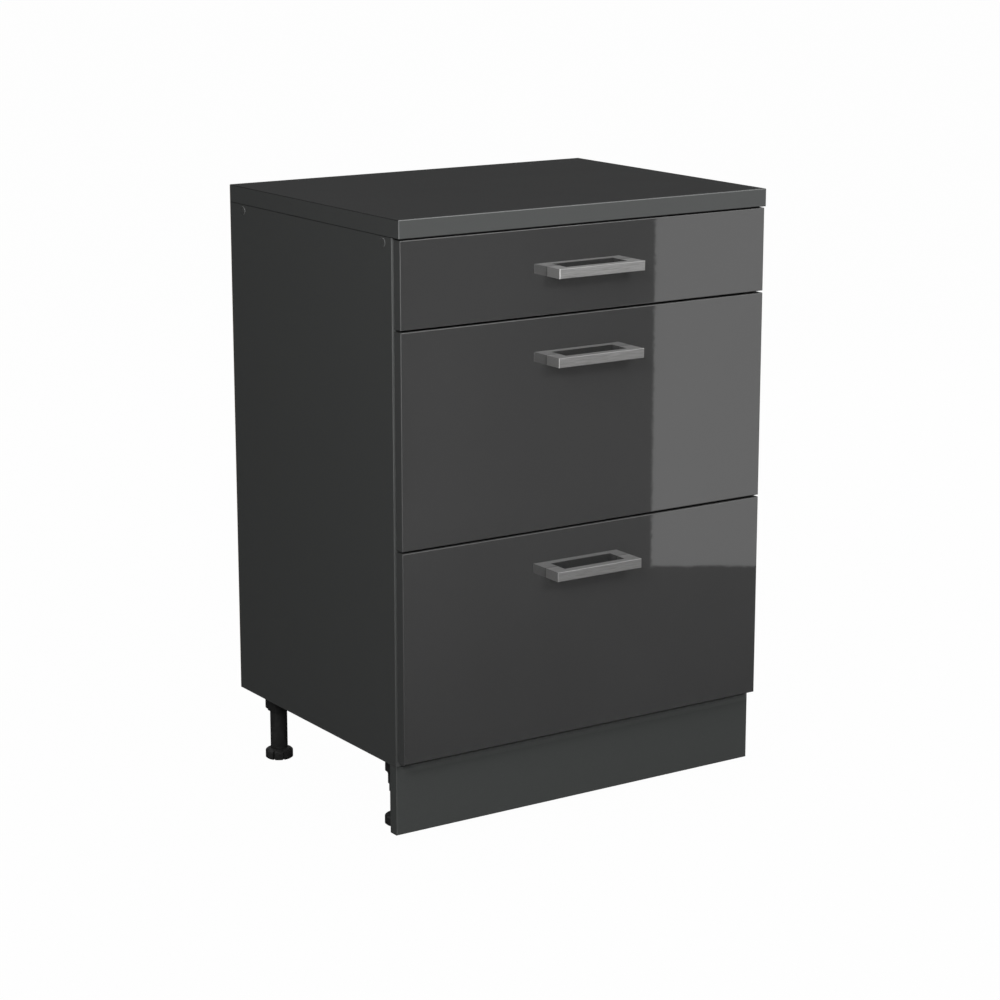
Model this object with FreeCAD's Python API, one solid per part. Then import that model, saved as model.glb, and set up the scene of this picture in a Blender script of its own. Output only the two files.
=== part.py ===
import FreeCAD, Part
import os

# Overall sizes, in millimetres
cabinet_width = 600.0
carcass_height = 715.0
carcass_depth = 437.0
leg_height = 97.0
worktop_thickness = 25.0
board = 16.0
worktop_round = 1.2
board_round = 1.0
fit = 0.1

# Back panel and its grooves
back_thickness = 3.0
back_inset = 12.0
groove_depth = 5.0
groove_play = 0.3

# Top rails
rail_depth = 80.0

# Drawer fronts and the gaps round them
front_thickness = 16.0
front_standoff = 2.0
side_reveal = 2.0
top_reveal = 2.0
bottom_reveal = 7.5
front_joint = 3.0
front_round = 1.2
top_front_height = 116.5

# Bridge handles
handle_length = 140.0
handle_height = 13.0
handle_projection = 30.0
handle_bar = 13.0
handle_leg = 20.0
handle_drop = 58.25
handle_round = 0.7
handle_screw_inset = 6.0
handle_screw_radius = 2.0
handle_screw_head = 4.5
handle_screw_head_length = 2.4
handle_screw_grip = 9.0

# Drawer boxes
drawer_board = 16.0
drawer_bottom_thickness = 3.0
drawer_bottom_rise = 10.0
box_rise = 18.0
box_height_share = 0.62
drawer_back_space = 22.0

# Roller runners
runner_gap = 12.5
steel = 1.2
runner_setback = 2.0
flange_width = 5.0
return_width = 3.5
support_width = 12.0
roller_radius = 9.0
roller_width = 7.5
roller_side_gap = 0.6
track_side_gap = 0.9
roller_play = 0.3
roller_lift = 0.2
roller_inset = 11.0
roller_round = 0.8
stud_radius = 2.5
stud_head_radius = 3.8
stud_head = 1.0
runner_screw_shares = (0.15, 0.5, 0.85)
runner_screw_radius = 2.6
runner_screw_head = 4.5
runner_screw_head_length = 1.4
runner_screw_length = 11.0

# Drawer fixings
cam_radius = 7.4
cam_depth = 12.5
cam_distance = 34.0
cam_bolt_radius = 3.3
cam_bolt_grip = 10.0
fixing_height_shares = (0.4, 0.8)
box_screw_radius = 2.4
box_screw_head = 4.4
box_screw_head_length = 3.0
box_screw_length = 42.0
support_screw_radius = 1.8
support_screw_head = 3.2
support_screw_head_length = 1.0
support_screw_length = 13.0
support_screw_shares = (0.25, 0.75)

# Carcass screws and cover caps
carcass_screw_radius = 2.5
carcass_screw_head = 4.4
carcass_screw_head_length = 4.0
carcass_screw_length = 46.0
front_screw_inset = 21.0
rear_screw_inset = 38.0
floor_screw_shares = (0.25, 0.5, 0.7)
cap_radius = 6.0
cap_height = 1.2
cap_round = 0.9
worktop_screw_radius = 2.0
worktop_screw_head = 3.8
worktop_screw_head_length = 2.2
worktop_screw_grip = 14.0
worktop_screw_share = 0.6

# Cross recesses in the screw heads and the cams
recess_span_share = 0.62
recess_slot_share = 0.17
recess_depth_share = 0.6
cam_recess_share = 0.2

# Bumper pads
pad_radius = 4.0
pad_play = 0.3
pad_height_share = 0.8

# Legs and screw feet
leg_side_inset = 30.0
leg_front_inset = 42.0
leg_rear_inset = 58.0
socket_radius = 19.0
socket_height = 20.0
socket_step_radius = 16.0
socket_step = 4.0
socket_roof = 4.0
socket_pin_radius = 5.0
socket_pin = 11.0
tube_radius = 12.5
foot_radius = 20.0
foot_base_radius = 18.6
foot_rim = 12.6
foot_shoulder = 14.0
foot_height = 15.0
foot_chamfer = 1.0
foot_neck_radius = 13.4
foot_seat = 0.3
spindle_radius = 6.0
spindle_share = 0.6
notch_radius = 2.2
notch_count = 8
notch_turn_share = 0.5

# Plinth and clips
plinth_thickness = 16.0
plinth_play = 0.4
clip_plate_width = 59.0
clip_plate = 3.5
clip_height_share = 0.95
clip_height = 12.0
clip_wall = 2.6
clip_neck_width = 14.0
clip_mouth_width = 20.0

# Places that follow from the sizes
half_width = cabinet_width / 2
inner_half = half_width - board
total_depth = handle_projection + front_thickness + front_standoff + carcass_depth
rear_y = total_depth / 2
carcass_front_y = rear_y - carcass_depth
front_back_y = carcass_front_y - front_standoff
front_face_y = front_back_y - front_thickness
handle_face_y = front_face_y - handle_projection
floor_top_z = leg_height + board
carcass_top_z = leg_height + carcass_height
rail_z = carcass_top_z - board
back_front_y = rear_y - back_inset - back_thickness
front_screw_y = carcass_front_y + front_screw_inset
rear_screw_y = rear_y - rear_screw_inset
screw_z = carcass_top_z - board / 2
box_half = inner_half - runner_gap
box_inner_half = box_half - drawer_board
drawer_rear_y = back_front_y - drawer_back_space - front_standoff
drawer_length = drawer_rear_y - front_back_y
runner_front_y = carcass_front_y + runner_setback
front_roller_y = runner_front_y + roller_inset
rear_roller_y = drawer_rear_y - roller_inset
leg_x = half_width - leg_side_inset
front_leg_y = carcass_front_y + leg_front_inset
rear_leg_y = rear_y - leg_rear_inset

# Heights of the three fronts
front_top_z = carcass_top_z - top_reveal
front_bottom_z = leg_height + bottom_reveal
deep_front_height = (front_top_z - front_bottom_z - top_front_height - front_joint * 2) / 2
middle_top_z = front_top_z - top_front_height - front_joint
bottom_top_z = middle_top_z - deep_front_height - front_joint
front_tops = {"top": front_top_z, "middle": middle_top_z, "bottom": bottom_top_z}
front_heights = {"top": top_front_height, "middle": deep_front_height, "bottom": deep_front_height}

# Heights in a runner, measured from the lower edge of the drawer side
rear_roller_rise = roller_lift + roller_radius
flange_rise = rear_roller_rise + roller_radius + roller_play * 2
front_roller_rise = flange_rise - roller_play - roller_radius
track_rise = roller_lift - roller_play
return_rise = rear_roller_rise + roller_radius + roller_play * 2
web_middle_rise = (track_rise + return_rise) / 2

X = FreeCAD.Vector(1, 0, 0)
Y = FreeCAD.Vector(0, 1, 0)
Z = FreeCAD.Vector(0, 0, 1)
ORIGIN = FreeCAD.Vector(0, 0, 0)


def block(x0, x1, y0, y1, z0, z1):
    return Part.makeBox(x1 - x0, y1 - y0, z1 - z0, FreeCAD.Vector(x0, y0, z0))


def rod(radius, start, direction, length):
    return Part.makeCylinder(radius, length, start, direction)


def cross_recess(start, direction, head_radius, depth):
    half_span = head_radius * recess_span_share
    half_slot = head_radius * recess_slot_share
    along = block(-half_span, half_span, -half_slot, half_slot, 0, depth)
    across = block(-half_slot, half_slot, -half_span, half_span, 0, depth)
    cross = along.fuse(across).removeSplitter()
    cross.Placement = FreeCAD.Placement(start, FreeCAD.Rotation(Z, direction))
    return cross


def screw(start, direction, head_radius, head_length, radius, length, grow, capped=False):
    head = rod(head_radius + grow, start, direction, head_length)
    shank = rod(radius + grow, start, direction, head_length + length + grow)
    shape = head.fuse(shank).removeSplitter()
    if grow or capped:
        return shape
    return shape.cut(cross_recess(start, direction, head_radius, head_length * recess_depth_share))


def mirrored(shape):
    return shape.mirror(ORIGIN, X)


def lies_on(edge, axis, value):
    box = edge.BoundBox
    low = {"x": box.XMin, "y": box.YMin, "z": box.ZMin}[axis]
    high = {"x": box.XMax, "y": box.YMax, "z": box.ZMax}[axis]
    return abs(low - value) < fit and abs(high - value) < fit


def soften(shape, radius, axis, value):
    edges = [edge for edge in shape.Edges if lies_on(edge, axis, value)]
    return shape.makeFillet(radius, edges)


def save(name, solids):
    shape = solids[0] if len(solids) == 1 else Part.makeCompound(solids)
    shape.exportStep("parts/" + name + ".step")


# Screws of the carcass, also used to cut their holes

def carcass_screws(grow):
    made = []
    for side in (-1, 1):
        inward = FreeCAD.Vector(-side, 0, 0)
        for y in (front_screw_y, rear_screw_y):
            start = FreeCAD.Vector(side * half_width, y, screw_z)
            made.append(screw(start, inward, carcass_screw_head, carcass_screw_head_length,
                              carcass_screw_radius, carcass_screw_length, grow, capped=True))
        for share in floor_screw_shares:
            y = carcass_front_y + carcass_depth * share
            start = FreeCAD.Vector(side * (half_width - board / 2), y, leg_height)
            made.append(screw(start, Z, carcass_screw_head, carcass_screw_head_length,
                              carcass_screw_radius, carcass_screw_length, grow))
    return made


def worktop_screws(grow):
    made = []
    rail_front = carcass_front_y + rail_depth / 2
    rail_rear = back_front_y - rail_depth / 2
    length = board + worktop_screw_grip
    for side in (-1, 1):
        for y in (rail_front, rail_rear):
            x = side * half_width * worktop_screw_share
            start = FreeCAD.Vector(x, y, rail_z - worktop_screw_head_length)
            made.append(screw(start, Z, worktop_screw_head, worktop_screw_head_length,
                              worktop_screw_radius, length, grow))
    return made


def runner_screws(grow):
    made = []
    for name in front_tops:
        z = box_bottom(name) + web_middle_rise
        for side in (-1, 1):
            outward = FreeCAD.Vector(side, 0, 0)
            for share in runner_screw_shares:
                y = runner_front_y + drawer_length * share
                start = FreeCAD.Vector(side * (inner_half - steel - runner_screw_head_length), y, z)
                made.append(screw(start, outward, runner_screw_head, runner_screw_head_length,
                                  runner_screw_radius, runner_screw_length, grow))
    return made


# Boards of the carcass

def worktop():
    top = carcass_top_z + worktop_thickness
    shape = block(-half_width, half_width, front_face_y, rear_y, carcass_top_z, top)
    shape = soften(shape, worktop_round, "z", top)
    return shape.cut(worktop_screws(fit))


def side_panel():
    shape = block(-half_width, -inner_half, carcass_front_y, rear_y, floor_top_z, carcass_top_z)
    uprights = [edge for edge in shape.Edges if lies_on(edge, "y", carcass_front_y)]
    uprights = [edge for edge in uprights if not lies_on(edge, "z", floor_top_z)]
    uprights = [edge for edge in uprights if not lies_on(edge, "z", carcass_top_z)]
    shape = shape.makeFillet(board_round, uprights)
    groove = block(-inner_half - groove_depth, -inner_half, back_front_y,
                   back_front_y + back_thickness + groove_play, floor_top_z, carcass_top_z)
    return shape.cut([groove] + carcass_screws(fit) + runner_screws(fit))


def bottom_panel():
    shape = block(-half_width, half_width, carcass_front_y, rear_y, leg_height, floor_top_z)
    front = [edge for edge in shape.Edges if lies_on(edge, "y", carcass_front_y)]
    front = [edge for edge in front if lies_on(edge, "z", leg_height)]
    shape = shape.makeFillet(board_round, front)
    groove = block(-inner_half - groove_depth, inner_half + groove_depth, back_front_y,
                   back_front_y + back_thickness + groove_play, floor_top_z - groove_depth, floor_top_z)
    places = leg_places(leg_height).values()
    pins = [rod(socket_pin_radius + fit, place, Z, socket_pin + fit) for place in places]
    return shape.cut([groove] + carcass_screws(fit) + pins)


def rail(y0):
    shape = block(-inner_half, inner_half, y0, y0 + rail_depth, rail_z, carcass_top_z)
    return shape.cut(carcass_screws(fit) + worktop_screws(fit))


def back_panel():
    half = inner_half + groove_depth - groove_play
    bottom = floor_top_z - groove_depth
    return block(-half, half, back_front_y, back_front_y + back_thickness, bottom, carcass_top_z)


def cover_caps():
    made = []
    for side in (-1, 1):
        outward = FreeCAD.Vector(side, 0, 0)
        for y in (front_screw_y, rear_screw_y):
            cap = rod(cap_radius, FreeCAD.Vector(side * half_width, y, screw_z), outward, cap_height)
            made.append(soften(cap, cap_round, "x", side * (half_width + cap_height)))
    return made


def bumper_pads():
    made = []
    length = front_standoff - pad_play
    for name in front_tops:
        z = front_tops[name] - front_heights[name] * (1 - pad_height_share)
        for side in (-1, 1):
            start = FreeCAD.Vector(side * (half_width - board / 2), carcass_front_y - length, z)
            made.append(rod(pad_radius, start, Y, length))
    return made


# Legs, feet and plinth

def leg_places(z):
    return {
        "front_left": FreeCAD.Vector(-leg_x, front_leg_y, z),
        "front_right": FreeCAD.Vector(leg_x, front_leg_y, z),
        "rear_left": FreeCAD.Vector(-leg_x, rear_leg_y, z),
        "rear_right": FreeCAD.Vector(leg_x, rear_leg_y, z),
    }


tube_bottom_z = foot_height + foot_seat
tube_top_z = leg_height - socket_roof - foot_seat
spindle_length = (tube_top_z - tube_bottom_z) * spindle_share
socket_bottom_z = leg_height - socket_height - socket_step
clip_bottom = tube_bottom_z + (socket_bottom_z - tube_bottom_z - clip_height) * clip_height_share


def leg_socket(place):
    cup_z = leg_height - socket_height
    cup = rod(socket_radius, place + Z * cup_z, Z, socket_height)
    step = rod(socket_step_radius, place + Z * (cup_z - socket_step), Z, socket_step)
    pin = rod(socket_pin_radius, place + Z * leg_height, Z, socket_pin)
    bore_depth = socket_height + socket_step - socket_roof
    bore = rod(tube_radius + fit, place + Z * (cup_z - socket_step), Z, bore_depth)
    return cup.fuse([step, pin]).cut(bore).removeSplitter()


def leg_tube(place):
    tube = rod(tube_radius, place + Z * tube_bottom_z, Z, tube_top_z - tube_bottom_z)
    bore = rod(spindle_radius + fit, place + Z * tube_bottom_z, Z, spindle_length + foot_seat)
    return tube.cut(bore)


def foot(place):
    top = foot_height + spindle_length
    outline = [
        (0, 0), (foot_base_radius, 0), (foot_radius, foot_chamfer), (foot_radius, foot_rim),
        (foot_base_radius, foot_shoulder), (foot_neck_radius, foot_height),
        (spindle_radius, foot_height), (spindle_radius, top), (0, top), (0, 0)]
    wire = Part.makePolygon([FreeCAD.Vector(r, 0, z) for r, z in outline])
    shape = Part.Face(wire).revolve(ORIGIN, Z, 360)
    notches = []
    for step in range(notch_count):
        notch = rod(notch_radius, FreeCAD.Vector(foot_radius, 0, 0), Z, foot_shoulder)
        notch.rotate(ORIGIN, Z, 360 * (step + notch_turn_share) / notch_count)
        notches.append(notch)
    shape = shape.cut(notches)
    shape.translate(place)
    return shape


def plinth_board():
    shape = block(-half_width, half_width, carcass_front_y, carcass_front_y + plinth_thickness, 0,
                  leg_height - plinth_play)
    uprights = [edge for edge in shape.Edges if lies_on(edge, "y", carcass_front_y)]
    return shape.makeFillet(board_round, uprights)


def plinth_clip(place):
    plate_y = carcass_front_y + plinth_thickness
    half_plate = clip_plate_width / 2
    top = clip_bottom + clip_height
    plate = block(place.x - half_plate, place.x + half_plate, plate_y, plate_y + clip_plate, clip_bottom, top)
    ring = rod(tube_radius + fit + clip_wall, place + Z * clip_bottom, Z, clip_height)
    half_neck = clip_neck_width / 2
    neck = block(place.x - half_neck, place.x + half_neck, plate_y, place.y, clip_bottom, top)
    bore = rod(tube_radius + fit, place + Z * clip_bottom, Z, clip_height)
    mouth = block(place.x - clip_mouth_width / 2, place.x + clip_mouth_width / 2, place.y,
                  place.y + tube_radius * 2, clip_bottom, top)
    return plate.fuse([ring, neck]).cut([bore, mouth]).removeSplitter()


# Drawer parts

def box_bottom(name):
    return front_tops[name] - front_heights[name] + box_rise


def box_height(name):
    return front_heights[name] * box_height_share


def fixing_heights(name):
    return [box_bottom(name) + box_height(name) * share for share in fixing_height_shares]


def handle_screws(name, grow):
    z = front_tops[name] - handle_drop
    length = front_thickness + handle_screw_grip
    made = []
    for side in (-1, 1):
        x = side * (handle_length / 2 - handle_screw_inset)
        start = FreeCAD.Vector(x, front_back_y + handle_screw_head_length, z)
        made.append(screw(start, -Y, handle_screw_head, handle_screw_head_length,
                          handle_screw_radius, length, grow))
    return made


def cam_bolts(name, grow):
    length = cam_bolt_grip + cam_distance + grow
    made = []
    for side in (-1, 1):
        for z in fixing_heights(name):
            x = side * (box_half - drawer_board / 2)
            start = FreeCAD.Vector(x, front_back_y - cam_bolt_grip - grow, z)
            made.append(rod(cam_bolt_radius + grow, start, Y, length + grow))
    return made


def cams(name, grow):
    made = []
    for side in (-1, 1):
        outward = FreeCAD.Vector(side, 0, 0)
        for z in fixing_heights(name):
            start = FreeCAD.Vector(side * box_inner_half, front_back_y + cam_distance, z)
            cam = rod(cam_radius + grow, start, outward, cam_depth + grow)
            if not grow:
                cam = cam.cut(cross_recess(start, outward, cam_radius, cam_depth * cam_recess_share))
            made.append(cam)
    return made


def box_screws(name, grow):
    made = []
    for side in (-1, 1):
        inward = FreeCAD.Vector(-side, 0, 0)
        for z in fixing_heights(name):
            start = FreeCAD.Vector(side * box_half, drawer_rear_y - drawer_board / 2, z)
            made.append(screw(start, inward, box_screw_head, box_screw_head_length,
                              box_screw_radius, box_screw_length, grow))
    return made


def support_screws(name, grow):
    made = []
    for side in (-1, 1):
        for share in support_screw_shares:
            y = front_back_y + drawer_length * share
            start = FreeCAD.Vector(side * (box_half - support_width / 2), y,
                                   box_bottom(name) - steel - support_screw_head_length)
            made.append(screw(start, Z, support_screw_head, support_screw_head_length,
                              support_screw_radius, support_screw_length, grow))
    return made


def drawer_bottom(name, grow):
    half = box_inner_half + groove_depth - groove_play + grow
    z0 = box_bottom(name) + drawer_bottom_rise
    y0 = front_back_y - groove_depth + groove_play - grow
    return block(-half, half, y0, drawer_rear_y, z0, z0 + drawer_bottom_thickness + grow)


def drawer_front(name):
    top = front_tops[name]
    half = half_width - side_reveal
    shape = block(-half, half, front_face_y, front_back_y, top - front_heights[name], top)
    shape = soften(shape, front_round, "y", front_face_y)
    return shape.cut([drawer_bottom(name, groove_play)] + handle_screws(name, fit) + cam_bolts(name, fit))


def drawer_side(name):
    z0 = box_bottom(name)
    shape = block(-box_half, -box_inner_half, front_back_y, drawer_rear_y, z0, z0 + box_height(name))
    shape = soften(shape, board_round, "z", z0 + box_height(name))
    tools = [drawer_bottom(name, groove_play)] + cams(name, fit) + cam_bolts(name, fit)
    return shape.cut(tools + box_screws(name, fit) + support_screws(name, fit))


def drawer_back(name):
    z0 = box_bottom(name) + drawer_bottom_rise + drawer_bottom_thickness
    top = box_bottom(name) + box_height(name)
    shape = block(-box_inner_half, box_inner_half, drawer_rear_y - drawer_board, drawer_rear_y, z0, top)
    return shape.cut(box_screws(name, fit))


def handle(name):
    z = front_tops[name] - handle_drop
    half = handle_length / 2
    low = z - handle_height / 2
    high = z + handle_height / 2
    shape = block(-half, half, handle_face_y, front_face_y, low, high)
    gap = block(handle_leg - half, half - handle_leg, handle_face_y + handle_bar, front_face_y, low, high)
    shape = soften(shape.cut(gap), handle_round, "y", handle_face_y)
    return shape.cut(handle_screws(name, fit))


def fixings(name):
    sockets = [cam.cut(cam_bolts(name, fit)) for cam in cams(name, 0)]
    made = handle_screws(name, 0) + sockets + cam_bolts(name, 0)
    return made + box_screws(name, 0) + support_screws(name, 0)


# Roller runners, drawn on the left and mirrored

def profile(outline, base_z, y0, length):
    points = [FreeCAD.Vector(u - inner_half, y0, base_z + rise) for u, rise in outline]
    return Part.Face(Part.makePolygon(points + points[:1])).extrude(Y * length)


def cabinet_runner(name):
    base = box_bottom(name)
    track_end = runner_gap - steel - track_side_gap
    low = track_rise - steel
    high = return_rise + steel
    outline = [(0, low), (track_end, low), (track_end, track_rise), (steel, track_rise), (steel, return_rise),
               (return_width + steel, return_rise), (return_width + steel, high), (0, high)]
    shape = profile(outline, base, runner_front_y, drawer_length - runner_setback * 2)
    place = FreeCAD.Vector(-inner_half, front_roller_y, base + front_roller_rise)
    face = steel + roller_side_gap + roller_width
    stud = rod(stud_radius, place, X, face)
    head = rod(stud_head_radius, place + X * (face - stud_head), X, stud_head)
    return shape.fuse([stud, head]).removeSplitter().cut(runner_screws(fit))


def drawer_runner(name):
    base = box_bottom(name)
    web = runner_gap - steel
    high = flange_rise + steel
    shelf = runner_gap + support_width
    lip = web - flange_width
    outline = [(web, -steel), (shelf, -steel), (shelf, 0), (runner_gap, 0), (runner_gap, high),
               (lip, high), (lip, flange_rise), (web, flange_rise)]
    shape = profile(outline, base, front_back_y, drawer_length)
    place = FreeCAD.Vector(runner_gap - inner_half, rear_roller_y, base + rear_roller_rise)
    face = steel + roller_side_gap + roller_width
    stud = rod(stud_radius, place, -X, face)
    head = rod(stud_head_radius, place - X * (face - stud_head), -X, stud_head)
    return shape.fuse([stud, head]).removeSplitter().cut(support_screws(name, fit))


def roller(place, direction):
    wheel = rod(roller_radius, place, direction, roller_width)
    rims = [edge for edge in wheel.Edges if len(edge.Vertexes) == 1]
    wheel = wheel.makeFillet(roller_round, rims)
    bore = rod(stud_radius + fit / 2, place, direction, roller_width)
    depth = stud_head + fit
    recess = rod(stud_head_radius + fit * 2, place + direction * (roller_width - depth), direction, depth)
    return wheel.cut([bore, recess])


def cabinet_roller(name):
    x = steel + roller_side_gap - inner_half
    return roller(FreeCAD.Vector(x, front_roller_y, box_bottom(name) + front_roller_rise), X)


def drawer_roller(name):
    x = runner_gap - steel - roller_side_gap - inner_half
    return roller(FreeCAD.Vector(x, rear_roller_y, box_bottom(name) + rear_roller_rise), -X)


def pair(shape):
    return [shape, mirrored(shape)]


# Write every piece

os.makedirs("parts", exist_ok=True)
save("worktop", [worktop()])
save("side_panel_left", [side_panel()])
save("side_panel_right", [mirrored(side_panel())])
save("bottom_panel", [bottom_panel()])
save("front_rail", [rail(carcass_front_y)])
save("rear_rail", [rail(back_front_y - rail_depth)])
save("back_panel", [back_panel()])
save("plinth_board", [plinth_board()])
save("plinth_clips", [plinth_clip(leg_places(0)["front_left"]), plinth_clip(leg_places(0)["front_right"])])
save("carcass_screws", carcass_screws(0))
save("cover_caps", cover_caps())
save("worktop_screws", worktop_screws(0))
save("runner_screws", runner_screws(0))
save("bumper_pads", bumper_pads())
for corner, place in leg_places(0).items():
    save("leg_socket_" + corner, [leg_socket(place)])
    save("leg_tube_" + corner, [leg_tube(place)])
    save("foot_" + corner, [foot(place)])
for name in front_tops:
    save("drawer_front_" + name, [drawer_front(name)])
    save("drawer_side_left_" + name, [drawer_side(name)])
    save("drawer_side_right_" + name, [mirrored(drawer_side(name))])
    save("drawer_back_" + name, [drawer_back(name)])
    save("drawer_bottom_" + name, [drawer_bottom(name, 0)])
    save("handle_" + name, [handle(name)])
    save("drawer_fixings_" + name, fixings(name))
    save("cabinet_runners_" + name, pair(cabinet_runner(name)))
    save("drawer_runners_" + name, pair(drawer_runner(name)))
    save("cabinet_rollers_" + name, pair(cabinet_roller(name)))
    save("drawer_rollers_" + name, pair(drawer_roller(name)))
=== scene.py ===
import math
import bpy
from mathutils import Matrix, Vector


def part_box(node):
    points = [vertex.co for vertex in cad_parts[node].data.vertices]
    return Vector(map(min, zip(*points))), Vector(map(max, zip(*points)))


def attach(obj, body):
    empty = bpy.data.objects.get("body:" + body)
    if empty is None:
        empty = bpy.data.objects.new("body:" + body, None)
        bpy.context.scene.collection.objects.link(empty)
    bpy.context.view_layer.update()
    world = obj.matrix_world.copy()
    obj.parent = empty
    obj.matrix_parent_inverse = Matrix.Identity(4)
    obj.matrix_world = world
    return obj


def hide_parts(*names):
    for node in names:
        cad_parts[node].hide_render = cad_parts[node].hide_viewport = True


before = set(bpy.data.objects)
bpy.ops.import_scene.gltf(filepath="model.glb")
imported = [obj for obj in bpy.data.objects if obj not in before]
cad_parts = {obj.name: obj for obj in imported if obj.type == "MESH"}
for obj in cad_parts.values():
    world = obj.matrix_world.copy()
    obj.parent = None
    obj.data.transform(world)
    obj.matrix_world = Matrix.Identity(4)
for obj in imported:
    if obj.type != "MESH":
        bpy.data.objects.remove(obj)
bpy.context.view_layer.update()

# Carcass: the bottom panel, two sides and two rails are chipboard with a dark melamine skin,
# edged at the front and left raw at the back. Long chipboard screws hold them together.
# The skin is satin with a fine pearl grain, and the raw edge shows pressed chips.


class Knob:
    """One socket of a material, so that shader maths reads as plain maths."""

    def __init__(self, tree, socket=None):
        self.tree = tree
        self.socket = socket

    def make(self, kind, settings, sockets, out=0):
        node = self.tree.nodes.new(kind)
        for key, value in settings.items():
            if key == "stops":
                while len(node.color_ramp.elements) < len(value):
                    node.color_ramp.elements.new(0.5)
                for element, (place, colour) in zip(node.color_ramp.elements, value):
                    element.position = place
                    element.color = colour
            else:
                setattr(node, key, value)
        for key, value in sockets.items():
            if isinstance(value, Knob):
                self.tree.links.new(value.socket, node.inputs[key])
            else:
                node.inputs[key].default_value = value
        return Knob(self.tree, node.outputs[out])

    def maths(self, operation, first, second):
        return self.make("ShaderNodeMath", {"operation": operation}, {0: first, 1: second})

    def __add__(self, other):
        return self.maths("ADD", self, other)

    def __radd__(self, other):
        return self.maths("ADD", other, self)

    def __sub__(self, other):
        return self.maths("SUBTRACT", self, other)

    def __rsub__(self, other):
        return self.maths("SUBTRACT", other, self)

    def __mul__(self, other):
        return self.maths("MULTIPLY", self, other)

    def __rmul__(self, other):
        return self.maths("MULTIPLY", other, self)

    def __gt__(self, other):
        return self.maths("GREATER_THAN", self, other)

    def __lt__(self, other):
        return self.maths("LESS_THAN", self, other)

    def ramp(self, stops):
        return self.make("ShaderNodeValToRGB", {"stops": stops}, {0: self})

    def mix(self, first, second):
        return self.make("ShaderNodeMix", {"data_type": "RGBA"}, {0: self, 6: first, 7: second}, out=2)


class Finish:
    """A material with one Principled shader: constants on its sockets, and what varies fed in."""

    def __init__(self, name, **constants):
        self.material = bpy.data.materials.new(name)
        self.material.use_nodes = True
        self.tree = self.material.node_tree
        self.shader = self.tree.nodes["Principled BSDF"]
        for key, value in constants.items():
            self.shader.inputs[key.replace("_", " ")].default_value = value
        self.place = Knob(self.tree).make("ShaderNodeTexCoord", {}, {}, out="Object")
        self.x, self.y, self.z = (
            self.place.make("ShaderNodeSeparateXYZ", {}, {0: self.place}, out=axis) for axis in range(3))

    def pattern(self, kind, stretch, sockets, out):
        place = self.place.make("ShaderNodeMapping", {}, {"Vector": self.place, "Scale": stretch})
        return place.make(kind, {}, {"Vector": place, **sockets}, out)

    def noise(self, scale, detail=2.0, stretch=(1.0, 1.0, 1.0)):
        return self.pattern("ShaderNodeTexNoise", stretch, {"Scale": scale, "Detail": detail}, out=0)

    def cells(self, scale, stretch=(1.0, 1.0, 1.0)):
        return self.pattern("ShaderNodeTexVoronoi", stretch, {"Scale": scale}, out="Color")

    def feed(self, name, value):
        self.tree.links.new(value.socket, self.shader.inputs[name])

    def bump(self, height, strength, distance):
        relief = {"Height": height, "Strength": strength, "Distance": distance}
        self.feed("Normal", height.make("ShaderNodeBump", {}, relief))

    def cover(self, shader):
        self.tree.links.new(shader.socket, self.tree.nodes["Material Output"].inputs["Surface"])

    def paint(self, *nodes):
        for node in nodes:
            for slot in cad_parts[node].material_slots:
                slot.material = self.material

    def dress(self, piece):
        piece.data.materials.clear()
        piece.data.materials.append(self.material)


def tone(red, green, blue):
    """An opaque colour."""
    return (red, green, blue, 1.0)


def grey(level):
    """An opaque neutral grey."""
    return tone(level, level, level)


def chips(finish):
    """The colour of pressed wood chips, as a sawn chipboard edge shows them."""
    flake = finish.cells(scale=420.0, stretch=(1.0, 1.0, 0.45))
    dust = finish.noise(scale=900.0, detail=3.0)
    dark_chip, pale_chip = tone(0.20, 0.12, 0.06), tone(0.52, 0.38, 0.23)
    middle_chip, dusty_chip = tone(0.36, 0.24, 0.13), tone(0.16, 0.10, 0.05)
    wood = flake.ramp([(0.0, dark_chip), (0.5, middle_chip), (1.0, pale_chip)])
    return (dust * 0.4).mix(wood, dusty_chip)


side_low, side_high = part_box("side_panel_left")
edging_thickness, skin_depth, joint_half = 0.0007, 0.0004, 0.0005
dark_pearl, pale_pearl = tone(0.0362, 0.0375, 0.0369), tone(0.0478, 0.0494, 0.0487)
clouded, painted_edging_highlight = tone(0.0467, 0.0484, 0.0477), tone(0.125, 0.129, 0.127)
open_joint = tone(0.01, 0.009, 0.008)
carcass = Finish("carcass_melamine", Specular_IOR_Level=0.04)
pearl = carcass.noise(scale=1400.0, detail=3.0)
cloud = carcass.noise(scale=9.0)
carcass_skin = pearl.ramp([(0.3, dark_pearl), (0.7, pale_pearl)])
carcass_skin = (cloud * 0.25).mix(carcass_skin, clouded)
edged = carcass.y < side_low.y + edging_thickness
# The front edging has a painted highlight, paler towards the top.
carcass_skin = (edged * (0.3 + carcass.z * 0.85)).mix(carcass_skin, painted_edging_highlight)
raw = carcass.y > side_high.y - skin_depth
carcass_skin = raw.mix(carcass_skin, chips(carcass))
rear_joint = (carcass.z > side_low.z - joint_half) * (carcass.z < side_low.z + joint_half) * raw
carcass.feed("Base Color", rear_joint.mix(carcass_skin, open_joint))
carcass.feed("Roughness", 0.42 + cloud * 0.06 + raw * 0.35)
carcass.bump(pearl, strength=0.12, distance=0.0002)
carcass.paint("side_panel_left", "side_panel_right", "bottom_panel", "front_rail", "rear_rail")

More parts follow.
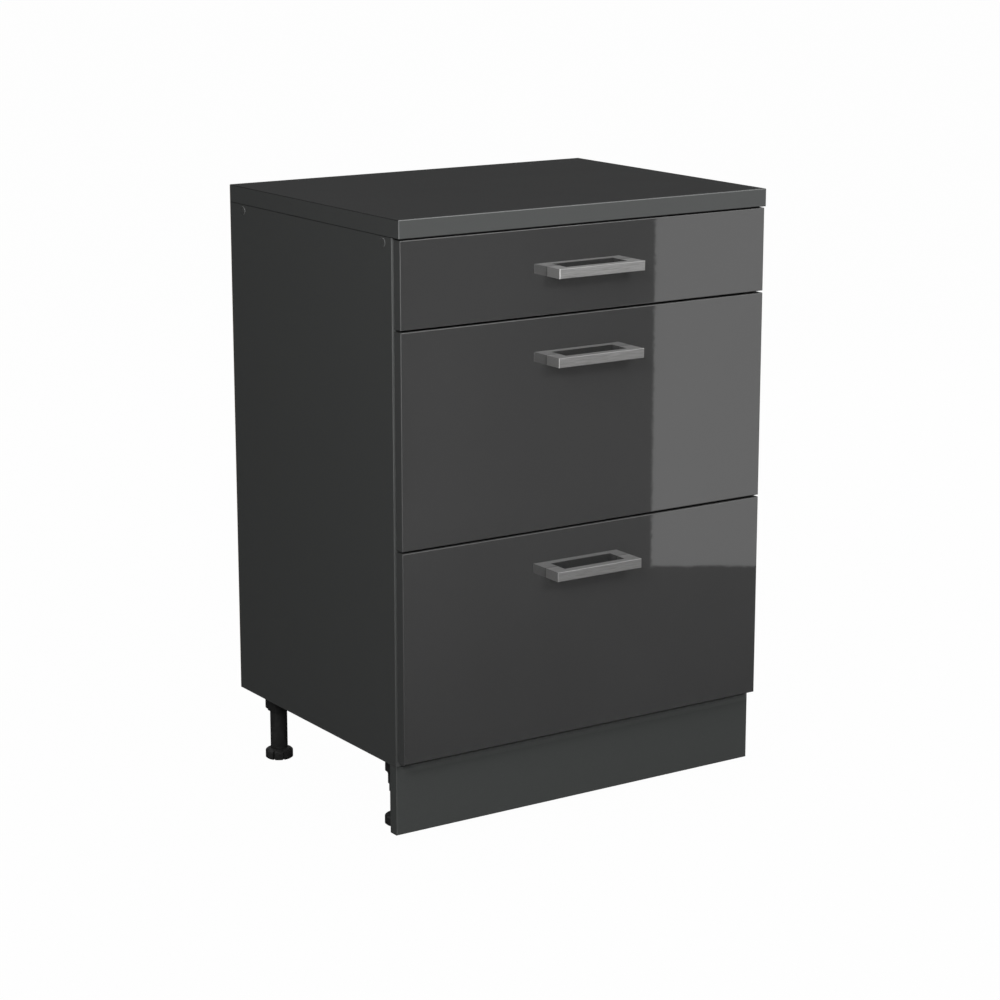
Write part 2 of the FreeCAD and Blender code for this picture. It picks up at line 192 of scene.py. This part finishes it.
# Back panel: thin hardboard pushed down into grooves in the sides and the bottom panel.
# Its inner face has a dark print, and the face to the wall is bare brown fibre.
bare_depth = 0.0015
dark_print = tone(0.02, 0.021, 0.021)
deep_brown, pale_brown = tone(0.15, 0.085, 0.045), tone(0.27, 0.165, 0.09)
back = Finish("back_hardboard", Specular_IOR_Level=0.2)
fibre = back.noise(scale=260.0, detail=6.0, stretch=(1.0, 1.0, 2.2))
fuzz = back.noise(scale=1500.0)
bare = back.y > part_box("back_panel")[1].y - bare_depth
back.feed("Base Color", bare.mix(dark_print, fibre.ramp([(0.25, deep_brown), (0.75, pale_brown)])))
back.feed("Roughness", 0.5 + bare * 0.3)
back.bump(fibre * 0.6 + fuzz * 0.4, strength=0.25, distance=0.0003)
back.paint("back_panel")

# Worktop: a thick chipboard slab with a dark laminate on top and an edging on three sides.
# The laminate is finely beaded, and the edging is a little lighter, with painted highlights at its front
# corners.
# The rear edge is raw, and the slab is screwed on from below through the rails.
worktop_low, worktop_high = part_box("worktop")
laminate_thickness, arris_width, arris_depth, shadow_line_height = 0.0012, 0.0011, 0.0009, 0.0009
dark_bead, pale_bead = tone(0.0126, 0.0129, 0.0129), tone(0.0190, 0.0193, 0.0193)
patchy, side_edging = tone(0.025, 0.0256, 0.0256), tone(0.043, 0.0445, 0.0438)
shaded_front_edging, lit_front_edging = tone(0.0655, 0.0681, 0.0672), tone(0.0745, 0.0769, 0.0762)
painted_arris_highlight, worktop_shadow_line = tone(0.14, 0.143, 0.142), grey(0.008)
worktop = Finish("worktop_laminate", Specular_IOR_Level=0.1)
bead = worktop.noise(scale=1100.0)
patch = worktop.noise(scale=6.0, detail=3.0)
top_skin = (patch * 0.2).mix(bead.ramp([(0.3, dark_bead), (0.7, pale_bead)]), patchy)
top_skin = (worktop.z < worktop_high.z - laminate_thickness).mix(top_skin, side_edging)
# The front edging has painted light: lighter than the side edging, and lighter from left to right.
front_edging_painted_light = (worktop.x * 1.66 + 0.5).mix(shaded_front_edging, lit_front_edging)
top_skin = (worktop.y < worktop_low.y + skin_depth).mix(top_skin, front_edging_painted_light)
# Painted highlights on the front's top and left corners.
corner_lines = (worktop.z > worktop_high.z - arris_width) + (worktop.x < worktop_low.x + arris_width)
top_skin = (corner_lines * (worktop.y < worktop_low.y + arris_depth)).mix(top_skin, painted_arris_highlight)
sawn = worktop.y > worktop_high.y - skin_depth
top_skin = sawn.mix(top_skin, chips(worktop))
# A painted shadow line runs along the slab's bottom edge, where it sits on the carcass.
worktop.feed("Base Color", (worktop.z < worktop_low.z + shadow_line_height).mix(top_skin, worktop_shadow_line))
worktop.feed("Roughness", 0.46 + patch * 0.06 + sawn * 0.3)
worktop.bump(bead, strength=0.18, distance=0.0002)
worktop.paint("worktop")

# Plinth: a melamine board that stands on the floor and is clipped to the front legs.
# Same skin as the carcass, a touch lighter. Painted light makes it paler towards its top edge,
# which stands in the deep shadow under the fronts.
plinth_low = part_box("plinth_board")[0]
corner_width, corner_depth = 0.0012, 0.0004
plinth_dark, plinth_pale = tone(0.0395, 0.0420, 0.0409), tone(0.0512, 0.0542, 0.0529)
plinth_top_painted_light, plinth_corner_highlight = tone(0.16, 0.1675, 0.164), tone(0.064, 0.0664, 0.0652)
plinth = Finish("plinth_melamine", Specular_IOR_Level=0.2)
plinth_pearl = plinth.noise(scale=1400.0, detail=3.0)
plinth_skin = plinth_pearl.ramp([(0.3, plinth_dark), (0.7, plinth_pale)])
# Painted light along the top edge, fading out towards the left end.
painted_light_strip = plinth.z.ramp([
    (0.0868, grey(0.0)), (0.0925, grey(0.29)), (0.0938, grey(0.45)), (0.0950, grey(1.0))])
inward = (plinth.x - plinth_low.x).ramp([(0.002, grey(0.0)), (0.03, grey(1.0))])
plinth_skin = (painted_light_strip * inward).mix(plinth_skin, plinth_top_painted_light)
# A painted highlight on the left front corner.
left_corner = (plinth.x < plinth_low.x + corner_width) * (plinth.y < plinth_low.y + corner_depth)
plinth.feed("Base Color", left_corner.mix(plinth_skin, plinth_corner_highlight))
plinth.feed("Roughness", 0.4 + plinth_pearl * 0.06)
plinth.bump(plinth_pearl, strength=0.12, distance=0.0002)
plinth.paint("plinth_board")

# Legs: sockets pressed into the bottom panel from below, and tubes pushed into them.
# They are black plastic, and so are the clips that hold the plinth. The moulded skin is finely eroded.
corners = ("front_left", "front_right", "rear_left", "rear_right")
leg = Finish("leg_plastic", Specular_IOR_Level=0.35)
eroded = leg.noise(scale=2200.0)
scuff = leg.noise(scale=120.0, detail=4.0)
leg.feed("Base Color", scuff.ramp([(0.35, grey(0.0145)), (0.8, grey(0.0255))]))
leg.feed("Roughness", 0.36 + scuff * 0.2)
leg.bump(eroded, strength=0.2, distance=0.0002)
leg.paint("plinth_clips")
for corner in corners:
    leg.paint("leg_socket_" + corner, "leg_tube_" + corner)

# Screw feet: notched discs of the same plastic, each with a spindle that is screwed up into its tube.
# A disc is drawn up from its base face, ring by ring, to the shoulder and the spindle.
# Then the finger notches are cut into its rim, and the thread is wound up the spindle.


def pick(piece, test):
    """Selects the faces whose middle and normal pass the test, and stays in edit mode."""
    bpy.ops.object.mode_set(mode="EDIT")
    bpy.ops.mesh.select_mode(type="FACE")
    bpy.ops.mesh.select_all(action="DESELECT")
    bpy.ops.object.mode_set(mode="OBJECT")
    for face in piece.data.polygons:
        face.select = test(face.center, face.normal)
    bpy.ops.object.mode_set(mode="EDIT")


def settle():
    """Puts the active piece's place and turn into its mesh."""
    bpy.ops.object.transform_apply(location=True, rotation=True, scale=True)


def hold(piece, *others):
    """Selects the piece and makes it active, with the others selected beside it."""
    bpy.ops.object.select_all(action="DESELECT")
    for each in (piece, *others):
        each.select_set(True)
    bpy.context.view_layer.objects.active = piece


def double(model, place, turn):
    """Makes a copy of the model with its own mesh, set at a place and a turn."""
    made = model.copy()
    made.data = model.data.copy()
    bpy.context.collection.objects.link(made)
    made.location = place
    made.rotation_euler = turn
    hold(made)
    settle()
    return made


base_radius, base_bevel, disc_radius, disc_top = 0.0186, 0.001, 0.0200, 0.0106
shoulder_radius, shoulder_top, spindle_radius = 0.0134, 0.0150, 0.0054
spindle_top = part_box("foot_front_left")[1].z
foot_rings = (
    (disc_radius, disc_top), (0.0197, 0.0115), (0.0187, 0.0125),
    (shoulder_radius, shoulder_top), (spindle_radius, shoulder_top), (spindle_radius, spindle_top))
bpy.ops.object.select_all(action="DESELECT")
bpy.ops.mesh.primitive_cylinder_add(
    vertices=96, radius=base_radius, depth=base_bevel, location=(0.0, 0.0, base_bevel / 2))
foot = bpy.context.object
settle()
pick(foot, lambda middle, normal: normal.z > 0.9)
widen = disc_radius / base_radius
bpy.ops.transform.resize(value=(widen, widen, 1.0), center_override=(0.0, 0.0, base_bevel))
ring, level = disc_radius, base_bevel
for next_ring, next_level in foot_rings:
    widen = next_ring / ring
    bpy.ops.mesh.extrude_region_move(TRANSFORM_OT_translate={"value": (0.0, 0.0, next_level - level)})
    bpy.ops.transform.resize(value=(widen, widen, 1.0), center_override=(0.0, 0.0, next_level))
    ring, level = next_ring, next_level
bpy.ops.object.mode_set(mode="OBJECT")

# Eight flattened rods cut the notches, and all edges are softened as in a mould.
notch_count, notch_turn = 8, math.radians(36.9)
notch_half, notch_stretch, notch_height, notch_middle = 0.0016, 2.8, 0.020, 0.0055
cutters = []
for step in range(notch_count):
    turn = notch_turn + math.tau * step / notch_count
    bpy.ops.object.select_all(action="DESELECT")
    bpy.ops.mesh.primitive_cylinder_add(
        vertices=20, radius=notch_half, depth=notch_height, scale=(notch_stretch, 1.0, 1.0),
        location=(disc_radius * math.cos(turn), disc_radius * math.sin(turn), notch_middle),
        rotation=(0.0, 0.0, turn))
    settle()
    cutters.append(bpy.context.object)
hold(*cutters)
bpy.ops.object.join()
notches = bpy.context.object
hold(foot)
cut = foot.modifiers.new("notches", "BOOLEAN")
cut.object = notches
cut.operation = "DIFFERENCE"
cut.solver = "EXACT"
bpy.ops.object.modifier_apply(modifier="notches")
bpy.data.objects.remove(notches)
soft = foot.modifiers.new("soft", "BEVEL")
soft.width = 0.00035
soft.segments = 2
soft.limit_method = "ANGLE"
soft.angle_limit = math.radians(40.0)
bpy.ops.object.modifier_apply(modifier="soft")

# A three-sided ridge, closed at both ends, is the thread.
thread_radius, thread_pitch, thread_start, thread_steps = 0.00058, 0.0018, 0.0165, 24
bpy.ops.object.select_all(action="DESELECT")
bpy.ops.mesh.primitive_circle_add(
    vertices=3, radius=thread_radius, fill_type="NOTHING",
    location=(spindle_radius, 0.0, thread_start), rotation=(math.pi / 2, math.pi / 2, 0.0))
thread = bpy.context.object
settle()
wind = thread.modifiers.new("wind", "SCREW")
wind.screw_offset = thread_pitch
wind.iterations = int((spindle_top - thread_start) / thread_pitch) - 1
wind.steps = thread_steps
wind.render_steps = thread_steps
bpy.ops.object.modifier_apply(modifier="wind")
bpy.ops.object.mode_set(mode="EDIT")
bpy.ops.mesh.select_mode(type="VERT")
bpy.ops.mesh.select_all(action="DESELECT")
bpy.ops.mesh.select_non_manifold()
bpy.ops.mesh.fill_holes(sides=3)
bpy.ops.mesh.select_all(action="SELECT")
bpy.ops.mesh.normals_make_consistent(inside=False)
bpy.ops.object.mode_set(mode="OBJECT")
hold(foot, thread)
bpy.ops.object.join()
bpy.ops.object.shade_smooth_by_angle(angle=math.radians(35.0))
leg.dress(foot)
for corner in corners:
    low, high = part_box("foot_" + corner)
    screw_foot = double(foot, ((low.x + high.x) / 2, (low.y + high.y) / 2, low.z), (0.0, 0.0, 0.0))
    screw_foot.name = "screw_foot_" + corner
    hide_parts("foot_" + corner)
    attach(screw_foot, "foot_" + corner)
bpy.data.objects.remove(foot)

# Fixings: zinc-plated steel screws in the carcass, the worktop, the runners and the drawers.
# Plating has a faint yellow and blue tint and small stains.
drawers = ("top", "middle", "bottom")
yellow_zinc, blue_zinc = tone(0.50, 0.50, 0.47), tone(0.62, 0.63, 0.64)
zinc = Finish("zinc_plating", Metallic=1.0)
stain = zinc.noise(scale=500.0, detail=3.0)
zinc.feed("Base Color", stain.ramp([(0.3, yellow_zinc), (0.7, blue_zinc)]))
zinc.feed("Roughness", 0.28 + stain * 0.2)
zinc.paint("carcass_screws", "worktop_screws", "runner_screws")
for drawer in drawers:
    zinc.paint("drawer_fixings_" + drawer)

# Cover caps: domed plastic caps pushed on the screw heads at the top of the sides, in the carcass colour.
# They are smooth, and their rim has a painted highlight.
caps_low, caps_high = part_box("cover_caps")
side_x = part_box("side_panel_right")[1].x
cap_radius, cap_rim = 0.006, 0.0009
dark_cap, pale_cap = tone(0.036, 0.0373, 0.0367), tone(0.045, 0.0465, 0.0458)
painted_rim_highlight = tone(0.14, 0.143, 0.142)
cap = Finish("cap_plastic", Specular_IOR_Level=0.5)
speck = cap.noise(scale=1600.0)
# Painted highlight on the rim.
on_rim = cap.x * cap.x < (side_x + cap_rim) ** 2
cap.feed("Base Color", on_rim.mix(speck.ramp([(0.3, dark_cap), (0.7, pale_cap)]), painted_rim_highlight))
cap.feed("Roughness", 0.2 + speck * 0.1)


def dome(radius, crown, rim):
    """Slices a flat dome off a ball and draws its base down to a short straight rim."""
    ball = (radius * radius + crown * crown) / (2 * crown)
    ring_step, rim_bevel, slice_tolerance = 0.0006, 0.0003, 0.000001
    bpy.ops.object.select_all(action="DESELECT")
    bpy.ops.mesh.primitive_uv_sphere_add(
        segments=40, ring_count=int(math.pi * ball / ring_step), radius=ball,
        location=(0.0, 0.0, crown + rim - ball))
    made = bpy.context.object
    settle()
    bpy.ops.object.mode_set(mode="EDIT")
    bpy.ops.mesh.select_all(action="SELECT")
    bpy.ops.mesh.bisect(
        plane_co=(0.0, 0.0, rim), plane_no=(0.0, 0.0, 1.0), clear_inner=True, use_fill=True,
        threshold=slice_tolerance)
    pick(made, lambda middle, normal: normal.z < -0.9)
    bpy.ops.mesh.extrude_region_move(TRANSFORM_OT_translate={"value": (0.0, 0.0, -rim)})
    pick(made, lambda middle, normal: normal.z > 0.5)
    bpy.ops.mesh.region_to_loop()
    bpy.ops.mesh.bevel(offset=rim_bevel, segments=3, affect="EDGES")
    bpy.ops.object.mode_set(mode="OBJECT")
    bpy.ops.object.shade_smooth_by_angle(angle=math.radians(35.0))
    return made


def set_out(model, name, places):
    """Copies the model to each place and turn, joins the copies under one name and removes the model."""
    copies = [double(model, place, turn) for place, turn in places]
    hold(*copies)
    bpy.ops.object.join()
    copies[0].name = name
    bpy.data.objects.remove(model)
    return copies[0]


cap_z = (caps_low.z + caps_high.z) / 2
cap_places = []
for sign in (-1, 1):
    for cap_y in (caps_low.y + cap_radius, caps_high.y - cap_radius):
        cap_places.append(((sign * side_x, cap_y, cap_z), (0.0, sign * math.pi / 2, 0.0)))
caps = set_out(dome(cap_radius, caps_high.x - side_x - cap_rim, cap_rim), "screw_caps", cap_places)
cap.dress(caps)
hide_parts("cover_caps")
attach(caps, "carcass")

# Bumper pads: soft domes of milky rubber, stuck on the front edges of the sides.
# There are two behind each front, so that it closes quietly.
pads_low, pads_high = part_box("bumper_pads")
pad_radius, pad_crown, pad_share = 0.004, 0.001, 0.2
pad = Finish("pad_rubber", Specular_IOR_Level=0.4)
haze = pad.noise(scale=700.0)
pad.feed("Base Color", haze.ramp([(0.3, grey(0.22)), (0.7, grey(0.34))]))
pad.feed("Roughness", 0.35 + haze * 0.2)
pad_places = []
for drawer in drawers:
    low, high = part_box("drawer_front_" + drawer)
    pad_z = high.z - (high.z - low.z) * pad_share
    for pad_x in (pad_radius - pads_high.x, pads_high.x - pad_radius):
        pad_places.append(((pad_x, pads_high.y, pad_z), (math.pi / 2, 0.0, 0.0)))
pads = set_out(dome(pad_radius, pad_crown, pads_high.y - pads_low.y - pad_crown), "front_pads", pad_places)
pad.dress(pads)
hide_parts("bumper_pads")
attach(pads, "carcass")

# Runners: channels on the sides and profiles under the drawers, rolled from steel strip and powder coated.
# The coating is pale with a fine orange peel. Screws hold both.
worn_coat, fresh_coat = tone(0.62, 0.62, 0.60), tone(0.72, 0.72, 0.70)
runner = Finish("runner_coating", Specular_IOR_Level=0.5)
peel = runner.noise(scale=650.0)
wear = runner.noise(scale=60.0, detail=5.0, stretch=(1.0, 0.2, 1.0))
runner.feed("Base Color", wear.ramp([(0.35, worn_coat), (0.7, fresh_coat)]))
runner.feed("Roughness", 0.3 + peel * 0.12)
runner.bump(peel, strength=0.15, distance=0.0002)
for drawer in drawers:
    runner.paint("cabinet_runners_" + drawer, "drawer_runners_" + drawer)

# Rollers: wheels of moulded nylon, which turn on studs.
# One sits at the front of each channel, and one at the rear of each profile.
dark_nylon, pale_nylon = tone(0.70, 0.68, 0.61), tone(0.80, 0.79, 0.73)
nylon = Finish("roller_nylon", Specular_IOR_Level=0.45)
flow = nylon.noise(scale=300.0, detail=3.0)
nylon.feed("Base Color", flow.ramp([(0.3, dark_nylon), (0.7, pale_nylon)]))
nylon.feed("Roughness", 0.34 + flow * 0.15)
for drawer in drawers:
    nylon.paint("cabinet_rollers_" + drawer, "drawer_rollers_" + drawer)

# Drawer boxes: boards with a pale melamine skin that has a faint grain.
# They are cammed to the front and screwed at the back, and the thin bottom slides into grooves.
dark_grain, pale_grain = tone(0.56, 0.56, 0.545), tone(0.62, 0.62, 0.605)
box_shade = tone(0.50, 0.50, 0.485)
box = Finish("drawer_melamine", Specular_IOR_Level=0.35)
grain = box.noise(scale=1000.0, detail=3.0)
shade = box.noise(scale=7.0)
box.feed("Base Color", (shade * 0.2).mix(grain.ramp([(0.3, dark_grain), (0.7, pale_grain)]), box_shade))
box.feed("Roughness", 0.42 + grain * 0.1)
box.bump(grain, strength=0.1, distance=0.0002)
for drawer in drawers:
    box.paint("drawer_side_left_" + drawer, "drawer_side_right_" + drawer)
    box.paint("drawer_back_" + drawer, "drawer_bottom_" + drawer)

# Drawer fronts: boards with a dark high-gloss lacquer on the face and rounded edges.
# The lacquer is a clear mirror-like coat, thinner on the rounding. The edges and the inner face are satin.
# Cam fittings hold the fronts to the drawer boxes.
face_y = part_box("drawer_front_top")[0].y
rounding_start, rounding_end = 0.00012, 0.0011
dark_lacquer, pale_lacquer = tone(0.0365, 0.0368, 0.0368), tone(0.0443, 0.0446, 0.0446)
dark_edge, pale_edge = tone(0.036, 0.0370, 0.0366), tone(0.049, 0.0501, 0.0497)
painted_rounding_highlight = tone(0.13, 0.131, 0.131)
front = Finish("front_lacquer", Specular_IOR_Level=0.03, Coat_Roughness=0.02, Coat_IOR=5.5)
sparkle = front.noise(scale=1500.0)
tint = front.noise(scale=3.0)
faced = front.y < face_y + rounding_end
lacquer = tint.ramp([(0.3, dark_lacquer), (0.7, pale_lacquer)])
front_skin = faced.mix(sparkle.ramp([(0.3, dark_edge), (0.7, pale_edge)]), lacquer)
rounded = (front.y > face_y + rounding_start) * faced
# The rounding has a painted highlight, paler towards the top.
front.feed("Base Color", (rounded * (front.z * 1.25 - 0.1)).mix(front_skin, painted_rounding_highlight))
front.feed("Roughness", 0.42 + sparkle * 0.06)
front.feed("Coat Weight", faced - rounded * 0.85)
front.bump(sparkle, strength=0.004, distance=0.0002)
for drawer in drawers:
    front.paint("drawer_front_" + drawer)

# Handles: solid bridge pulls of brushed steel, screwed on from inside the drawer.
# The brushing runs along the bar and shows as fine streaks. Painted highlights brighten the sharp edges,
# and painted shade darkens the upper, end and inner faces, the line where it meets the front, and the
# lower drawers' handles.
handle_low, handle_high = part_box("handle_top")
top_z, middle_z, bottom_z = (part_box("handle_" + drawer)[0].z for drawer in drawers)
handle_bar, handle_leg, steel_skin, face_margin = 0.013, 0.020, 0.0003, 0.001
edge_start, edge_end, end_edge, top_end_edge, contact_shadow_depth = 0.00008, 0.0007, 0.0008, 0.0016, 0.0006
dark_steel, pale_steel = tone(0.213, 0.212, 0.2095), tone(0.339, 0.337, 0.3335)
shaded_inner_steel, painted_steel_highlight, shade_black = tone(0.07, 0.07, 0.069), tone(0.85, 0.845, 0.84), grey(0.0)
handle = Finish("handle_steel", Metallic=0.4, Specular_IOR_Level=0.4)
streak = handle.noise(scale=1800.0, detail=3.0, stretch=(0.03, 1.0, 1.0))
broad = handle.noise(scale=90.0, stretch=(0.3, 1.0, 1.0))
steel = streak.ramp([(0.3, dark_steel), (0.7, pale_steel)])
# Painted shade: darker on the lower drawers.
painted_shade_by_height = handle.z.ramp([(bottom_z, grey(0.243)), (middle_z, grey(0.19)), (top_z, grey(0.0))])
steel = painted_shade_by_height.mix(steel, shade_black)
# Painted shade on the end faces.
shaded_end_faces = (handle.x < handle_low.x + steel_skin) + (handle.x > handle_high.x - steel_skin)
steel = (shaded_end_faces * 0.15).mix(steel, shade_black)
# Painted shadow where the legs meet the front.
steel = ((handle.y > handle_high.y - contact_shadow_depth) * 0.65).mix(steel, shade_black)
# Painted shade on the upper faces.
shaded_upper_faces = 0.0
for drawer in drawers:
    upper_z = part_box("handle_" + drawer)[1].z
    shaded_upper_faces = shaded_upper_faces + (handle.z > upper_z - steel_skin) * (handle.z < upper_z + face_margin)
steel = (shaded_upper_faces * 0.24).mix(steel, shade_black)
# Painted shade on the inner faces behind the bar.
behind_bar = handle.y > handle_low.y + handle_bar - steel_skin
right_of_leg = handle.x > handle_low.x + handle_leg - steel_skin
left_of_leg = handle.x < handle_high.x - handle_leg + steel_skin
steel = (behind_bar * right_of_leg * left_of_leg).mix(steel, shaded_inner_steel)
# Painted highlights on the front edges, stronger on the ends of the higher handles and widest on the top
# handle's left end.
front_edge = (handle.y > handle_low.y + edge_start) * (handle.y < handle_low.y + edge_end)
end_edges = (handle.x < handle_low.x + end_edge) + (handle.x > handle_high.x - end_edge)
highlight_by_height = handle.z.ramp([(bottom_z, grey(0.0)), (middle_z, grey(0.7)), (top_z, grey(1.0))])
steel = (front_edge * (0.3 + end_edges * highlight_by_height)).mix(steel, painted_steel_highlight)
top_end_highlight = (handle.x < handle_low.x + top_end_edge) * (handle.y < handle_low.y + edge_end)
top_end_highlight = top_end_highlight * (handle.z > top_z)
handle.feed("Base Color", (top_end_highlight * 0.5).mix(steel, painted_steel_highlight))
handle.feed("Roughness", 0.44 + streak * 0.14 + broad * 0.06)
handle.bump(streak, strength=0.25, distance=0.0001)
for drawer in drawers:
    handle.paint("handle_" + drawer)

# Floor: a wide pale sheet, nearly white to the camera and dim in the gloss, as the fronts show it.
# It lies as far below the feet as they can be screwed out, so that they show at every height.
floor_size, foot_travel, near_white, dim_reach = 60.0, 0.02, 0.985, 4.0
bpy.ops.object.select_all(action="DESELECT")
bpy.ops.mesh.primitive_plane_add(size=floor_size, location=(0.0, 0.0, -foot_travel))
floor = bpy.context.object
floor.name = "floor"
pale = Finish("floor_paper", Base_Color=grey(0.28), Roughness=0.9, Specular_IOR_Level=0.0)
by_camera, by_gloss, by_glass = (
    pale.place.make("ShaderNodeLightPath", {}, {}, out="Is " + ray + " Ray")
    for ray in ("Camera", "Glossy", "Transmission"))
# The gloss glow has painted shade: darker close in front of the cabinet.
gloss_glow_shaded_near = (pale.y * (-1.0 / dim_reach)).ramp([
    (0.145, grey(0.038)), (0.32, grey(0.053)), (0.45, grey(0.060)), (0.76, grey(0.054))])
glow = pale.place.make("ShaderNodeEmission", {}, {"Color": by_gloss.mix(grey(1.0), gloss_glow_shaded_near), "Strength": 1.0})
seen = by_camera * near_white + by_gloss + by_glass * near_white
lit = Knob(pale.tree, pale.shader.outputs["BSDF"])
pale.cover(seen.make("ShaderNodeMixShader", {}, {0: seen, 1: lit, 2: glow}))
pale.dress(floor)

# Studio: a room that the camera sees white, and the gloss dim at the sides and bright overhead.
# A soft key lamp hangs at the front. Weaker lamps fill in from above, the left, the rear and low down.
world = bpy.data.worlds.new("studio")
bpy.context.scene.world = world
world.use_nodes = True
direction = Knob(world.node_tree).make("ShaderNodeTexCoord", {}, {}, out="Generated")
height = direction.make("ShaderNodeSeparateXYZ", {}, {0: direction}, out=2)
walls = height.ramp([
    (0.0, grey(1.0)), (0.02, grey(1.0)), (0.08, grey(0.2)), (0.55, grey(0.2)), (0.85, grey(0.8))])
mirrored = height.ramp([(0.1, grey(0.05)), (0.22, grey(0.2)), (0.55, grey(0.2)), (0.85, grey(0.8))])
by_camera, by_gloss, by_glass = (
    direction.make("ShaderNodeLightPath", {}, {}, out="Is " + ray + " Ray")
    for ray in ("Camera", "Glossy", "Transmission"))
room = (by_camera + by_glass).mix(by_gloss.mix(walls, mirrored), grey(1.0))
background = world.node_tree.nodes["Background"]
world.node_tree.links.new(room.socket, background.inputs["Color"])
background.inputs["Strength"].default_value = 1.0


def lamp(name, width, height, watts, place, target, in_gloss):
    """Hangs a soft rectangular lamp at a place, turned to a target and hidden from the camera."""
    data = bpy.data.lights.new(name, "AREA")
    data.shape = "RECTANGLE"
    data.size = width
    data.size_y = height
    data.energy = watts
    made = bpy.data.objects.new(name, data)
    bpy.context.collection.objects.link(made)
    made.location = place
    made.rotation_euler = (Vector(target) - Vector(place)).to_track_quat("-Z", "Y").to_euler()
    made.visible_camera = False
    made.visible_glossy = in_gloss


lamp("front_key", 1.3, 0.8, 69.0, (0.6, -3.3, 2.4), (0.0, 0.0, 0.45), True)
lamp("overhead", 2.0, 2.0, 22.0, (0.0, -0.6, 3.2), (0.0, 0.1, 0.0), False)
lamp("left_fill", 1.2, 1.0, 60.0, (-2.0, -1.8, 2.0), (-0.3, -0.1, 0.6), False)
lamp("low_fill", 1.4, 0.5, 1.0, (0.1, -2.6, 0.45), (0.0, 0.0, 0.2), False)
lamp("rear_fill", 2.0, 1.4, 60.0, (2.4, 2.1, 1.9), (0.1, 0.1, 0.4), False)

# Reflectors: two tall sheets of pale paper on stands, at the right and the left of the fronts.
# They glow like lamps and only show in the gloss. Their cut edges are a little wavy, as the lacquer shows
# them.
sheet_width, sheet_height, sheet_margin, sheet_light = 0.43, 0.9, 0.012, 0.163
wave_depth, cut_softness = 0.010, 0.005
for side, sign in (("right", 1), ("left", -1)):
    sheet_run = Vector((sign * 0.8436, 0.537, 0.0))
    sheet_corner = Vector((sign * 0.6855, -0.9838, 0.0655))
    sheet_middle = sheet_corner + sheet_run * (sheet_width - sheet_margin) / 2
    sheet_middle.z += (sheet_height - sheet_margin) / 2
    sheet_turn = (math.pi / 2, 0.0, math.atan2(sheet_run.y, sheet_run.x))
    bpy.ops.object.select_all(action="DESELECT")
    bpy.ops.mesh.primitive_plane_add(size=1.0, location=sheet_middle, rotation=sheet_turn)
    sheet = bpy.context.object
    sheet.name = "reflector_" + side
    sheet.scale = (sheet_width + sheet_margin, sheet_height + sheet_margin, 1.0)
    settle()
    paper = Finish("reflector_paper_" + side)
    wave = paper.noise(scale=130.0, detail=3.0) * wave_depth - wave_depth / 2
    along = (paper.x - sheet_corner.x) * sheet_run.x + (paper.y - sheet_corner.y) * sheet_run.y
    upward = paper.z - sheet_corner.z
    side_cut, lower_cut = (
        ((reach + wave) * (1.0 / cut_softness) + 0.5).ramp([(0.0, grey(0.0)), (1.0, grey(1.0))])
        for reach in (along, upward))
    clear = wave.make("ShaderNodeBsdfTransparent", {}, {})
    shine = wave.make("ShaderNodeEmission", {}, {"Strength": sheet_light})
    shown = wave.make("ShaderNodeAddShader", {}, {0: clear, 1: shine})
    paper.cover(wave.make("ShaderNodeMixShader", {}, {0: side_cut * lower_cut, 1: clear, 2: shown}))
    paper.dress(sheet)
    sheet.visible_camera = False
    sheet.visible_diffuse = False
    sheet.visible_shadow = False
    sheet.visible_transmission = False

# Camera: stands to the left of the fronts and above the worktop, and looks down at the cabinet's middle.
# A long lens keeps the edges nearly parallel, and everything is in focus.
camera_data = bpy.data.cameras.new("camera")
camera_data.sensor_width = 36.0
camera_data.lens = 99.2
camera = bpy.data.objects.new("camera", camera_data)
bpy.context.collection.objects.link(camera)
camera.location = (-2.126, -3.2015, 1.310)
camera.rotation_euler = (math.radians(90.0 - 13.49), 0.0, math.radians(-33.54))
bpy.context.scene.camera = camera
bpy.context.scene.view_settings.view_transform = "Standard"
